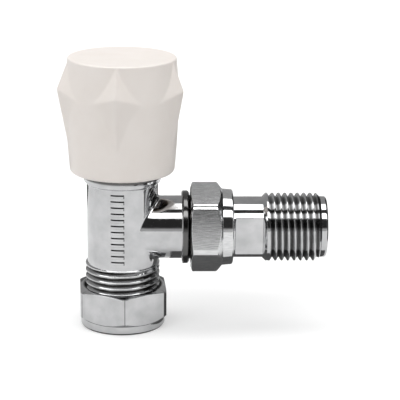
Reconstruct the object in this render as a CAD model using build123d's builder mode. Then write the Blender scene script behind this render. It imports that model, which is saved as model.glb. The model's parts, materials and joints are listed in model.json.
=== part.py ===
from build123d import *
import os
from math import cos, radians, sin, sqrt, tan

os.makedirs("parts", exist_ok=True)

# Angle radiator valve with a handwheel, in millimetres.
# The origin is on the axis of the inlet pipe, at the underside of the compression nut.
# +Z runs up the spindle and +X runs along the branch towards the radiator.

# Clearances
running_gap = 0.08
seat_gap = 0.05
thread_gap = 0.3
guide_gap = 0.2
pipe_gap = 0.1
trim = 0.4

# Threads, 14 turns to the inch
thread_pitch = 1.814
thread_depth = 1.16
thread_half_angle = 27.5
crest_land = 0.24

# Compression nut
pipe_radius = 7.5
nut_height = 12.0
nut_across_flats = 25.4
nut_corner_radius = 14.2
nut_rim_radius = 12.2
nut_rim_angle = 16.0
nut_turn = 33.0
foot_radius = 12.55
foot_height = 2.6
foot_edge = 0.15
nut_floor = 2.7
nut_hole_gap = 0.4
nut_engagement = 5.4

# Olive
olive_wall = 0.95
olive_end_wall = 0.35
olive_end_length = 1.2

# Body, from its foot upwards
inlet_crest_radius = 11.0
inlet_thread_length = 11.7
relief_width = 0.9
barrel_radius = 10.45
barrel_length = 23.6
branch_height = 10.5
collar_radius = 12.05
collar_cone_height = 1.6
collar_height = 3.6
pipe_socket_depth = 10.4
inlet_bore_radius = 6.4
seat_drop = 5.4
seat_lip_height = 1.5
seat_lip_radius = 5.9
seat_hole_radius = 4.5
seat_web = 2.2
chamber_radius = 7.5
saddle_fillet = 0.9

# Graduation ribs on the front of the barrel
rib_count = 12
rib_pitch = 1.84
rib_length = 4.1
rib_width = 1.0
rib_proud = 0.25
rib_offset = -1.35
rib_drop = 1.0

# Branch, measured along X from the spindle axis
branch_radius = 9.3
branch_length = 17.5
shoulder_radius = 10.8
shoulder_width = 2.2
union_crest_radius = 10.55
union_thread_length = 6.6
branch_bore_radius = 6.7
branch_mouth_radius = 8.9

# Union nut
union_nut_gap = 0.35
union_across_flats = 24.0
union_corner_radius = 13.3
union_hex_length = 7.3
union_rim_radius = 11.5
union_rim_angle = 18.0
union_back_chamfer = 1.9
union_collar_radius = 11.35
union_collar_taper = 0.25
union_collar_length = 3.3
union_turn = 18.1

# Radiator tail
tail_neck_radius = 9.0
tail_neck_length = 8.9
tail_flat_distance = 6.9
tail_flat_turn = 8.0
tail_bore_radius = 5.9
tail_outlet_radius = 7.9
tail_outlet_depth = 18.0
tail_crest_radius = 10.1
tail_thread_length = 16.6
tail_nose_radius = 8.8
tail_nose_length = 2.2
tail_seat_gap = 0.3
tail_cone_length = 2.0
tail_head_length = 1.6
tail_ring_width = 0.9
tail_ring_depth = 0.95
tail_ring_split = 2.4
tail_seal_radius = 0.6

# Bonnet
bonnet_thread_radius = 8.9
bonnet_thread_length = 9.7
bonnet_seal_radius = 0.62
bonnet_flange_radius = 11.6
bonnet_flange_height = 1.4
bonnet_across_flats = 20.0
bonnet_hex_height = 7.5
bonnet_neck_radius = 6.4
bonnet_neck_height = 3.1
guide_roof = 0.4

# Spindle
spindle_radius = 4.02
spindle_thread_radius = 3.0
spindle_thread_length = 7.5
spindle_flange_radius = 5.2
spindle_flange_height = 1.5
spindle_seal_radius = 0.55
spindle_seal_depth = 1.1
spindle_seal_spacing = 4.0
spindle_top_gap = 1.5
drive_across_flats = 6.0
drive_length = 9.0
thrust_washer_thickness = 0.6
circlip_thickness = 0.7
circlip_width = 2.15
circlip_depth = 0.8
circlip_split = 2.4

# Jumper and its rubber disc, closed on the seat
jumper_across_flats = 11.0
jumper_guide_length = 8.3
jumper_stem_radius = 4.6
jumper_stem_length = 4.1
jumper_disc_thickness = 2.5
jumper_rim_width = 0.9
jumper_rim_depth = 1.3
jumper_bore_floor = 0.9
washer_radius = 6.2
washer_thickness = 2.5
screw_radius = 2.0
screw_length = 4.6
screw_head_radius = 3.4
screw_head_height = 1.5
screw_slot_width = 0.8

# Handwheel
wheel_height = 33.8
wheel_overlap = 0.9
wheel_disc_radius = 15.8
wheel_waist_radius = 16.8
wheel_waist_drop = 10.6
wheel_shoulder_radius = 15.95
wheel_shoulder_drop = 25.9
wheel_foot_radius = 15.3
wheel_foot_corner = 1.0
wheel_wall = 1.7
wheel_top_wall = 2.0
lobe_count = 5
lobe_turn = -95.0
lobe_radius = 19.3
lobe_drop = 8.7
lobe_half_angle = 21.5
hub_radius = 6.3
hub_gap = 1.3
hub_slot_width = 1.0
hub_slot_length = 5.0
wheel_rib_thickness = 1.2
wheel_rib_rise = 2.6
clip_wire_radius = 0.5
clip_rise = 1.5
clip_split = 3.0

# Levels and places that follow from the sizes above
flank_width = thread_depth * tan(radians(thread_half_angle))
body_foot_z = nut_height - nut_engagement
inlet_thread_top = body_foot_z + inlet_thread_length
barrel_bottom = inlet_thread_top + relief_width
branch_z = barrel_bottom + branch_height
barrel_top = barrel_bottom + barrel_length
collar_bottom = barrel_top + collar_cone_height
body_top = collar_bottom + collar_height
pipe_stop_z = body_foot_z + pipe_socket_depth
seat_z = branch_z - seat_drop
web_top = seat_z - seat_lip_height
web_bottom = web_top - seat_web
bonnet_bottom = body_top - bonnet_thread_length
guide_top = body_top + guide_roof
neck_top = body_top + bonnet_flange_height + bonnet_hex_height + bonnet_neck_height

pipe_socket_radius = pipe_radius + pipe_gap
nut_bore_radius = inlet_crest_radius + thread_gap
nut_hole_radius = pipe_radius + nut_hole_gap
bonnet_bore_radius = bonnet_thread_radius + seat_gap
spindle_bore_radius = spindle_radius + running_gap
guide_across_flats = jumper_across_flats + 2 * guide_gap

shoulder_end = branch_length + shoulder_width
branch_end = shoulder_end + relief_width + union_thread_length
union_nut_x = shoulder_end + union_nut_gap
union_bore_radius = union_crest_radius + thread_gap
tail_head_x = branch_end + tail_seat_gap
ring_slot_x = tail_head_x + tail_head_length
ring_slot_width = tail_ring_width + 2 * seat_gap
union_shoulder_x = ring_slot_x + ring_slot_width
union_hole_radius = tail_neck_radius + thread_gap
union_back_x = union_nut_x + union_hex_length
union_collar_x = union_back_x + union_back_chamfer
union_end_x = union_collar_x + union_collar_length
tail_thread_x = union_end_x + tail_neck_length
tail_thread_end = tail_thread_x + tail_thread_length
tail_end = tail_thread_end + tail_nose_length

branch_axis = Axis((0, 0, branch_z), (1, 0, 0))


def teeth(first, last, crest, root):
    """Corners of a row of V teeth between two places on a thread's axis, as place and radius."""
    corners = []
    tooth_count = int((last - first) / thread_pitch)
    for tooth in range(tooth_count):
        start = first + tooth * thread_pitch
        corners.append((start, root))
        corners.append((start + flank_width, crest))
        corners.append((start + flank_width + crest_land, crest))
        corners.append((start + 2 * flank_width + crest_land, root))
    return corners


def upright(corners):
    """Corners given as height and radius, for a profile turned about Z."""
    return [(radius, height) for height, radius in corners]


def along_branch(corners):
    """Corners given as place and radius, for a profile turned about the branch axis."""
    return [(place, branch_z + radius) for place, radius in corners]


# Compression nut: a round foot, a hexagon with turned corners, and a bore over the inlet thread
nut_wall_rise = (nut_corner_radius - nut_rim_radius) * tan(radians(nut_rim_angle))
nut_foot_cone = nut_corner_radius - foot_radius
with BuildPart() as compression_nut:
    with BuildSketch(Plane.XY.offset(foot_height)) as nut_hexagon:
        RegularPolygon(nut_across_flats / 2, 6, major_radius=False, rotation=nut_turn)
    extrude(amount=nut_height - foot_height)
    with BuildSketch(Plane.XZ) as nut_turned_corners:
        with BuildLine():
            Polyline(
                (0, foot_height),
                (foot_radius, foot_height),
                (nut_corner_radius, foot_height + nut_foot_cone),
                (nut_corner_radius, nut_height - nut_wall_rise),
                (nut_rim_radius, nut_height),
                (0, nut_height),
                close=True,
            )
        make_face()
    revolve(axis=Axis.Z, mode=Mode.INTERSECT)
    with BuildSketch(Plane.XZ) as nut_foot:
        with BuildLine():
            Polyline(
                (0, 0),
                (foot_radius - foot_edge, 0),
                (foot_radius, foot_edge),
                (foot_radius, foot_height),
                (0, foot_height),
                close=True,
            )
        make_face()
    revolve(axis=Axis.Z)
    with BuildSketch(Plane.XZ) as nut_bore:
        with BuildLine():
            Polyline(
                (0, -1),
                (nut_hole_radius, -1),
                (nut_hole_radius, nut_floor - olive_wall),
                (nut_hole_radius + olive_wall, nut_floor),
                (nut_bore_radius, nut_floor),
                (nut_bore_radius, nut_height - trim / 2),
                (nut_bore_radius + trim / 2, nut_height),
                (nut_bore_radius + trim / 2, nut_height + 1),
                (0, nut_height + 1),
                close=True,
            )
        make_face()
    revolve(axis=Axis.Z, mode=Mode.SUBTRACT)
compression_nut.part.label = "compression_nut"
export_step(compression_nut.part, "parts/compression_nut.step")

# Olive: a ring tapered at both ends, between the nut's floor and the body's mouth
olive_bottom = nut_floor - olive_wall + trim / 2
olive_top = body_foot_z + olive_wall
olive_mid_radius = pipe_socket_radius + olive_wall
olive_end_radius = pipe_socket_radius + olive_end_wall
with BuildPart() as olive:
    with BuildSketch(Plane.XZ) as olive_section:
        with BuildLine():
            Polyline(
                (pipe_socket_radius, olive_bottom),
                (olive_end_radius, olive_bottom),
                (olive_mid_radius, olive_bottom + olive_end_length),
                (olive_mid_radius, olive_top - olive_end_length),
                (olive_end_radius, olive_top),
                (pipe_socket_radius, olive_top),
                close=True,
            )
        make_face()
    revolve(axis=Axis.Z)
olive.part.label = "olive"
export_step(olive.part, "parts/olive.step")

# Valve body: turned barrel with its inlet thread and collar, and the branch forged into its side
inlet_root_radius = inlet_crest_radius - thread_depth
union_root_radius = union_crest_radius - thread_depth
mouth_cone = olive_wall + 2 * thread_gap
branch_cone = branch_mouth_radius - branch_bore_radius
seal_seat_radius = bonnet_thread_radius + 2 * bonnet_seal_radius + running_gap + guide_gap
seal_seat_depth = 2 * bonnet_seal_radius + seat_gap
with BuildPart() as graduation:
    with BuildSketch(Plane.XZ) as rib_column:
        column_centre = barrel_top - rib_drop - (rib_count - 1) * rib_pitch / 2
        with Locations((rib_offset, column_centre)):
            with GridLocations(0, rib_pitch, 1, rib_count):
                Rectangle(rib_length, rib_width)
    extrude(amount=barrel_radius + rib_proud + 1)
    with BuildSketch(Plane.XY.offset(barrel_bottom)) as rib_faces:
        Circle(barrel_radius + rib_proud)
        Circle(barrel_radius - rib_proud, mode=Mode.SUBTRACT)
    extrude(amount=barrel_length, mode=Mode.INTERSECT)

with BuildPart() as valve_body:
    with BuildSketch(Plane.XZ) as barrel_profile:
        with BuildLine():
            inlet_teeth = upright(teeth(body_foot_z + trim, inlet_thread_top, inlet_crest_radius,
                                        inlet_root_radius))
            Polyline(
                (0, body_foot_z),
                (inlet_root_radius, body_foot_z),
                *inlet_teeth,
                (inlet_root_radius, barrel_bottom - trim),
                (barrel_radius, barrel_bottom),
                (barrel_radius, barrel_top),
                (collar_radius, collar_bottom),
                (collar_radius, body_top - trim),
                (collar_radius - trim, body_top),
                (0, body_top),
                close=True,
            )
        make_face()
    revolve(axis=Axis.Z)
    with BuildSketch(Plane.YZ) as branch_round:
        with Locations((0, branch_z)):
            Circle(branch_radius)
    extrude(amount=branch_length)
    saddle = edges().filter_by(GeomType.BSPLINE)
    fillet(saddle, saddle_fillet)
    with BuildSketch(Plane.XZ) as union_thread_profile:
        with BuildLine():
            union_teeth = along_branch(teeth(shoulder_end + relief_width, branch_end - trim,
                                             union_crest_radius, union_root_radius))
            Polyline(
                (branch_length, branch_z),
                (branch_length, branch_z + shoulder_radius - trim / 2),
                (branch_length + trim / 2, branch_z + shoulder_radius),
                (shoulder_end - trim / 2, branch_z + shoulder_radius),
                (shoulder_end, branch_z + shoulder_radius - trim / 2),
                (shoulder_end, branch_z + union_root_radius),
                *union_teeth,
                (branch_end, branch_z + union_root_radius),
                (branch_end, branch_z),
                close=True,
            )
        make_face()
    revolve(axis=branch_axis)
    with BuildSketch(Plane.XZ) as upright_waterway:
        with BuildLine():
            Polyline(
                (0, body_foot_z - 1),
                (pipe_socket_radius + mouth_cone, body_foot_z - 1),
                (pipe_socket_radius + mouth_cone, body_foot_z),
                (pipe_socket_radius, body_foot_z + mouth_cone),
                (pipe_socket_radius, pipe_stop_z),
                (inlet_bore_radius, pipe_stop_z),
                (inlet_bore_radius, web_bottom),
                (seat_hole_radius, web_bottom),
                (seat_hole_radius, seat_z),
                (seat_lip_radius, seat_z),
                (seat_lip_radius, web_top),
                (chamber_radius, web_top),
                (chamber_radius, bonnet_bottom),
                (bonnet_bore_radius, bonnet_bottom),
                (bonnet_bore_radius, body_top - seal_seat_depth),
                (seal_seat_radius, body_top - seal_seat_depth),
                (seal_seat_radius, body_top + 1),
                (0, body_top + 1),
                close=True,
            )
        make_face()
    revolve(axis=Axis.Z, mode=Mode.SUBTRACT)
    with BuildSketch(Plane.XZ) as branch_waterway:
        with BuildLine():
            Polyline(
                (chamber_radius - 1, branch_z),
                (chamber_radius - 1, branch_z + branch_bore_radius),
                (branch_end - branch_cone, branch_z + branch_bore_radius),
                (branch_end, branch_z + branch_mouth_radius),
                (branch_end + 1, branch_z + branch_mouth_radius),
                (branch_end + 1, branch_z),
                close=True,
            )
        make_face()
    revolve(axis=branch_axis, mode=Mode.SUBTRACT)
    add(graduation.part)
valve_body.part.label = "valve_body"
export_step(valve_body.part, "parts/valve_body.step")

# Union nut: a hexagon with turned corners and a tapered collar, closed down over the tail
union_rim_rise = (union_corner_radius - union_rim_radius) * tan(radians(union_rim_angle))
with BuildPart() as union_nut:
    with BuildSketch(Plane.YZ.offset(union_nut_x)) as union_hexagon:
        with Locations((0, branch_z)):
            RegularPolygon(union_across_flats / 2, 6, major_radius=False, rotation=union_turn)
    extrude(amount=union_collar_x - union_nut_x)
    with BuildSketch(Plane.XZ) as union_turned_corners:
        with BuildLine():
            Polyline(
                (union_nut_x, branch_z),
                (union_nut_x, branch_z + union_rim_radius),
                (union_nut_x + union_rim_rise, branch_z + union_corner_radius),
                (union_back_x, branch_z + union_corner_radius),
                (union_collar_x, branch_z + union_rim_radius),
                (union_collar_x, branch_z),
                close=True,
            )
        make_face()
    revolve(axis=branch_axis, mode=Mode.INTERSECT)
    with BuildSketch(Plane.XZ) as union_collar:
        with BuildLine():
            Polyline(
                (union_collar_x, branch_z),
                (union_collar_x, branch_z + union_collar_radius),
                (union_end_x - trim, branch_z + union_collar_radius - union_collar_taper),
                (union_end_x, branch_z + union_collar_radius - union_collar_taper - trim),
                (union_end_x, branch_z),
                close=True,
            )
        make_face()
    revolve(axis=branch_axis)
    with BuildSketch(Plane.XZ) as union_bore:
        with BuildLine():
            Polyline(
                (union_nut_x - 1, branch_z),
                (union_nut_x - 1, branch_z + union_bore_radius),
                (union_shoulder_x, branch_z + union_bore_radius),
                (union_shoulder_x, branch_z + union_hole_radius),
                (union_end_x + 1, branch_z + union_hole_radius),
                (union_end_x + 1, branch_z),
                close=True,
            )
        make_face()
    revolve(axis=branch_axis, mode=Mode.SUBTRACT)
union_nut.part.label = "union_nut"
export_step(union_nut.part, "parts/union_nut.step")

# Radiator tail: coned nose with a seal groove, ring slot, flatted neck and pipe thread
ring_inner_radius = tail_neck_radius - tail_ring_depth
cone_tip_x = tail_head_x - tail_cone_length
cone_shift = tail_seat_gap + branch_end - branch_cone
cone_root_radius = branch_bore_radius + tail_head_x - cone_shift - tail_seat_gap
cone_tip_radius = cone_root_radius - tail_cone_length
seal_reach = (tail_seal_radius + seat_gap) / sqrt(2)
seal_x = branch_end - branch_cone / 2 + seal_reach
seal_ring_radius = branch_bore_radius + branch_cone / 2 - seal_reach
tail_root_radius = tail_crest_radius - thread_depth
neck_flat_start = union_end_x + trim
flat_width = 2 * tail_neck_radius
with BuildPart() as radiator_tail:
    with BuildSketch(Plane.XZ) as tail_profile:
        with BuildLine():
            tail_teeth = along_branch(teeth(tail_thread_x, tail_thread_end, tail_crest_radius,
                                            tail_root_radius))
            Polyline(
                (cone_tip_x, branch_z),
                (cone_tip_x, branch_z + cone_tip_radius),
                (tail_head_x, branch_z + cone_root_radius),
                (tail_head_x, branch_z + tail_neck_radius),
                (ring_slot_x, branch_z + tail_neck_radius),
                (ring_slot_x, branch_z + ring_inner_radius - seat_gap),
                (union_shoulder_x, branch_z + ring_inner_radius - seat_gap),
                (union_shoulder_x, branch_z + tail_neck_radius),
                (tail_thread_x - trim, branch_z + tail_neck_radius),
                *tail_teeth,
                (tail_thread_end, branch_z + tail_nose_radius),
                (tail_end - 2 * trim, branch_z + tail_nose_radius),
                (tail_end, branch_z + tail_nose_radius - trim),
                (tail_end, branch_z),
                close=True,
            )
        make_face()
    revolve(axis=branch_axis)
    with BuildSketch(Plane.YZ.offset(neck_flat_start)) as spanner_flats:
        with Locations(Location((0, branch_z), tail_flat_turn)):
            with GridLocations(2 * (tail_flat_distance + flat_width / 2), 0, 2, 1):
                Rectangle(flat_width, 3 * tail_neck_radius)
    extrude(amount=tail_thread_x - neck_flat_start, mode=Mode.SUBTRACT)
    with BuildSketch(Plane.XZ) as tail_waterway:
        with BuildLine():
            Polyline(
                (cone_tip_x - 1, branch_z),
                (cone_tip_x - 1, branch_z + tail_bore_radius),
                (tail_end - tail_outlet_depth, branch_z + tail_bore_radius),
                (tail_end - tail_outlet_depth, branch_z + tail_outlet_radius),
                (tail_end + 1, branch_z + tail_outlet_radius),
                (tail_end + 1, branch_z),
                close=True,
            )
        make_face()
    revolve(axis=branch_axis, mode=Mode.SUBTRACT)
    with BuildSketch(Plane.XZ) as tail_seal_groove:
        with Locations((seal_x, branch_z + seal_ring_radius)):
            Circle(tail_seal_radius + seat_gap)
    revolve(axis=branch_axis, mode=Mode.SUBTRACT)
radiator_tail.part.label = "radiator_tail"
export_step(radiator_tail.part, "parts/radiator_tail.step")

with BuildPart() as tail_o_ring:
    with BuildSketch(Plane.XZ) as tail_o_ring_section:
        with Locations((seal_x, branch_z + seal_ring_radius)):
            Circle(tail_seal_radius)
    revolve(axis=branch_axis)
tail_o_ring.part.label = "tail_o_ring"
export_step(tail_o_ring.part, "parts/tail_o_ring.step")

# Split ring in the tail's slot: the union nut's shoulder pulls on it
with BuildPart() as tail_retaining_ring:
    with BuildSketch(Plane.YZ.offset(ring_slot_x + seat_gap)) as tail_ring_outline:
        with Locations((0, branch_z)):
            Circle(union_bore_radius - thread_gap)
            Circle(ring_inner_radius, mode=Mode.SUBTRACT)
        with Locations((0, branch_z - union_bore_radius)):
            Rectangle(tail_ring_split, union_bore_radius, mode=Mode.SUBTRACT)
    extrude(amount=tail_ring_width)
tail_retaining_ring.part.label = "tail_retaining_ring"
export_step(tail_retaining_ring.part, "parts/tail_retaining_ring.step")

# Bonnet: thread, flange, hexagon and neck, with a hexagonal guide below and the spindle's bore above
flange_top = body_top + bonnet_flange_height
bonnet_hex_top = flange_top + bonnet_hex_height
bonnet_corner_radius = bonnet_flange_radius - trim / 2
with BuildPart() as bonnet:
    with BuildSketch(Plane.XY.offset(flange_top)) as bonnet_hexagon:
        RegularPolygon(bonnet_across_flats / 2, 6, major_radius=False)
    extrude(amount=bonnet_hex_height)
    with BuildSketch(Plane.XY.offset(flange_top)) as bonnet_corners:
        Circle(bonnet_corner_radius)
    extrude(amount=bonnet_hex_height, mode=Mode.INTERSECT)
    with BuildSketch(Plane.XZ) as bonnet_turned_parts:
        with BuildLine():
            Polyline(
                (0, bonnet_bottom),
                (bonnet_thread_radius - trim, bonnet_bottom),
                (bonnet_thread_radius, bonnet_bottom + trim),
                (bonnet_thread_radius, body_top),
                (bonnet_flange_radius, body_top),
                (bonnet_flange_radius, flange_top),
                (bonnet_neck_radius, flange_top),
                (bonnet_neck_radius, neck_top - trim),
                (bonnet_neck_radius - trim, neck_top),
                (0, neck_top),
                close=True,
            )
        make_face()
    revolve(axis=Axis.Z)
    with BuildSketch(Plane.XY.offset(bonnet_bottom)) as jumper_guide:
        RegularPolygon(guide_across_flats / 2, 6, major_radius=False)
    extrude(amount=guide_top - bonnet_bottom, mode=Mode.SUBTRACT)
    with BuildSketch(Plane.XY.offset(guide_top)) as spindle_bore:
        Circle(spindle_bore_radius)
    extrude(amount=neck_top - guide_top, mode=Mode.SUBTRACT)
bonnet.part.label = "bonnet"
export_step(bonnet.part, "parts/bonnet.step")

with BuildPart() as bonnet_o_ring:
    with BuildSketch(Plane.XZ) as bonnet_o_ring_section:
        with Locations((bonnet_thread_radius + guide_gap + bonnet_seal_radius,
                        body_top - bonnet_seal_radius - seat_gap / 2)):
            Circle(bonnet_seal_radius)
    revolve(axis=Axis.Z)
bonnet_o_ring.part.label = "bonnet_o_ring"
export_step(bonnet_o_ring.part, "parts/bonnet_o_ring.step")

# Spindle: a left-hand thread for the jumper, a thrust flange, two seal grooves and a square end
thrust_washer_top = guide_top - seat_gap
flange_face = thrust_washer_top - thrust_washer_thickness - seat_gap
spindle_flange_bottom = flange_face - spindle_flange_height
spindle_bottom = spindle_flange_bottom - spindle_thread_length
circlip_bottom = neck_top + 3 * seat_gap
circlip_slot_bottom = circlip_bottom - seat_gap
circlip_slot_top = circlip_bottom + circlip_thickness + seat_gap
drive_bottom = neck_top + spindle_top_gap
drive_top = drive_bottom + drive_length
circlip_slot_radius = spindle_radius - circlip_depth
lower_seal_z = guide_top + (neck_top - guide_top - spindle_seal_spacing) / 2
seal_levels = [lower_seal_z, lower_seal_z + spindle_seal_spacing]
spindle_seal_ring_radius = spindle_bore_radius - seat_gap - spindle_seal_radius
seal_groove_radius = spindle_seal_ring_radius - spindle_seal_radius - seat_gap
with BuildPart() as spindle:
    with BuildSketch(Plane.XY.offset(drive_bottom)) as drive_square:
        Rectangle(drive_across_flats, drive_across_flats)
    extrude(amount=drive_length)
    with BuildSketch(Plane.XY.offset(drive_bottom)) as drive_corners:
        Circle(spindle_radius)
    extrude(amount=drive_length, mode=Mode.INTERSECT)
    with BuildSketch(Plane.XZ) as spindle_profile:
        with BuildLine():
            Polyline(
                (0, spindle_bottom),
                (spindle_thread_radius - trim, spindle_bottom),
                (spindle_thread_radius, spindle_bottom + trim),
                (spindle_thread_radius, spindle_flange_bottom),
                (spindle_flange_radius, spindle_flange_bottom),
                (spindle_flange_radius, flange_face),
                (spindle_radius, flange_face),
                (spindle_radius, circlip_slot_bottom),
                (circlip_slot_radius, circlip_slot_bottom),
                (circlip_slot_radius, circlip_slot_top),
                (spindle_radius, circlip_slot_top),
                (spindle_radius, drive_bottom),
                (0, drive_bottom),
                close=True,
            )
        make_face()
    revolve(axis=Axis.Z)
    for seal_level in seal_levels:
        with BuildSketch(Plane.XY.offset(seal_level - spindle_seal_depth / 2 - seat_gap)) as groove:
            Circle(spindle_bore_radius)
            Circle(seal_groove_radius, mode=Mode.SUBTRACT)
        extrude(amount=spindle_seal_depth + 2 * seat_gap, mode=Mode.SUBTRACT)
spindle.part.label = "spindle"
export_step(spindle.part, "parts/spindle.step")

for seal_name, seal_level in zip(["spindle_lower_o_ring", "spindle_upper_o_ring"], seal_levels):
    with BuildPart() as spindle_o_ring:
        with BuildSketch(Plane.XZ) as spindle_o_ring_section:
            with Locations((spindle_seal_ring_radius, seal_level)):
                Circle(spindle_seal_radius)
        revolve(axis=Axis.Z)
    spindle_o_ring.part.label = seal_name
    export_step(spindle_o_ring.part, f"parts/{seal_name}.step")

with BuildPart() as thrust_washer:
    with BuildSketch(Plane.XY.offset(thrust_washer_top - thrust_washer_thickness)) as washer_ring:
        Circle(spindle_flange_radius + guide_gap)
        Circle(spindle_bore_radius, mode=Mode.SUBTRACT)
    extrude(amount=thrust_washer_thickness)
thrust_washer.part.label = "thrust_washer"
export_step(thrust_washer.part, "parts/thrust_washer.step")

with BuildPart() as spindle_circlip:
    with BuildSketch(Plane.XY.offset(circlip_bottom)) as circlip_outline:
        Circle(circlip_slot_radius + seat_gap + circlip_width)
        Circle(circlip_slot_radius + seat_gap, mode=Mode.SUBTRACT)
        with Locations((0, -spindle_radius - circlip_width / 2)):
            Rectangle(circlip_split, 2 * spindle_radius, mode=Mode.SUBTRACT)
    extrude(amount=circlip_thickness)
spindle_circlip.part.label = "spindle_circlip"
export_step(spindle_circlip.part, "parts/spindle_circlip.step")

# Jumper: hexagonal guide over the spindle's thread, stem, and a cup for the rubber disc
disc_bottom = seat_z + seat_gap
disc_top = disc_bottom + washer_thickness
cup_floor = disc_top + seat_gap
cup_top = cup_floor + jumper_disc_thickness
stem_top = cup_top + jumper_stem_length
jumper_top = stem_top + jumper_guide_length
jumper_bore_radius = spindle_thread_radius + thread_gap
cup_inner_radius = washer_radius + running_gap
cup_radius = cup_inner_radius + jumper_rim_width
screw_bore_radius = screw_radius + seat_gap
screw_top = disc_bottom + screw_length
with BuildPart() as jumper:
    with BuildSketch(Plane.XY.offset(stem_top)) as guide_hexagon:
        RegularPolygon(jumper_across_flats / 2, 6, major_radius=False)
    extrude(amount=jumper_guide_length)
    with BuildSketch(Plane.XZ) as jumper_profile:
        with BuildLine():
            Polyline(
                (0, cup_floor),
                (cup_inner_radius, cup_floor),
                (cup_inner_radius, cup_floor - jumper_rim_depth),
                (cup_radius, cup_floor - jumper_rim_depth),
                (cup_radius, cup_top - trim),
                (cup_radius - trim, cup_top),
                (jumper_stem_radius, cup_top),
                (jumper_stem_radius, stem_top),
                (0, stem_top),
                close=True,
            )
        make_face()
    revolve(axis=Axis.Z)
    with BuildSketch(Plane.XY.offset(stem_top + jumper_bore_floor)) as jumper_thread_bore:
        Circle(jumper_bore_radius)
    extrude(amount=jumper_guide_length, mode=Mode.SUBTRACT)
    with BuildSketch(Plane.XY.offset(cup_floor)) as jumper_screw_bore:
        Circle(screw_bore_radius)
    extrude(amount=screw_top + seat_gap - cup_floor, mode=Mode.SUBTRACT)
jumper.part.label = "jumper"
export_step(jumper.part, "parts/jumper.step")

with BuildPart() as valve_washer:
    with BuildSketch(Plane.XY.offset(disc_bottom)) as valve_washer_outline:
        Circle(washer_radius)
        Circle(screw_bore_radius, mode=Mode.SUBTRACT)
    extrude(amount=washer_thickness)
valve_washer.part.label = "valve_washer"
export_step(valve_washer.part, "parts/valve_washer.step")

screw_head_top = disc_bottom - seat_gap
with BuildPart() as washer_screw:
    with BuildSketch(Plane.XZ) as washer_screw_profile:
        with BuildLine():
            Polyline(
                (0, screw_head_top - screw_head_height),
                (screw_head_radius - trim, screw_head_top - screw_head_height),
                (screw_head_radius, screw_head_top - screw_head_height + trim),
                (screw_head_radius, screw_head_top),
                (screw_radius, screw_head_top),
                (screw_radius, screw_top),
                (0, screw_top),
                close=True,
            )
        make_face()
    revolve(axis=Axis.Z)
    with BuildSketch(Plane.XY.offset(screw_head_top - screw_head_height)) as screw_slot:
        Rectangle(3 * screw_head_radius, screw_slot_width)
    extrude(amount=screw_head_height / 2, mode=Mode.SUBTRACT)
washer_screw.part.label = "washer_screw"
export_step(washer_screw.part, "parts/washer_screw.step")

# Handwheel: a moulded cup with five kite-shaped lobes, hollow behind them, and a slotted hub
wheel_bottom = body_top - wheel_overlap
wheel_top = wheel_bottom + wheel_height
waist_z = wheel_top - wheel_waist_drop
shoulder_z = wheel_top - wheel_shoulder_drop
lobe_z = wheel_top - lobe_drop
wheel_roof = wheel_top - wheel_top_wall
hub_bottom = circlip_bottom + circlip_thickness + hub_gap
rib_bottom = hub_bottom + wheel_rib_rise


def lobe_facets(inset):
    """The four planes of one lobe's facets, facing outwards along +X and moved in by inset."""
    apex = Vector(wheel_disc_radius, 0, wheel_top)
    crown = Vector(lobe_radius, 0, lobe_z)
    tip = Vector(wheel_shoulder_radius, 0, shoulder_z)
    side = wheel_waist_radius * sin(radians(lobe_half_angle))
    reach = wheel_waist_radius * cos(radians(lobe_half_angle))
    planes = []
    for hand in (1, -1):
        corner = Vector(reach, hand * side, waist_z)
        for end in (apex, tip):
            normal = (corner - crown).cross(end - crown).normalized()
            if normal.X < 0:
                normal = -normal
            planes.append(Plane(origin=crown - normal * inset, z_dir=normal))
    return planes


def kite_lobe(inset, top, bottom):
    """One lobe about +X between two heights: a wedge from the axis, cut back by four facets."""
    spread = lobe_radius * tan(radians(180 / lobe_count))
    with BuildPart() as lobe:
        with BuildSketch(Plane.XY.offset(bottom)) as wedge:
            with BuildLine():
                Polyline((0, 0), (lobe_radius, -spread), (lobe_radius, spread), close=True)
            make_face()
        extrude(amount=top - bottom)
        for facet in lobe_facets(inset):
            split(bisect_by=facet, keep=Keep.BOTTOM)
    return lobe.part


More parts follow.
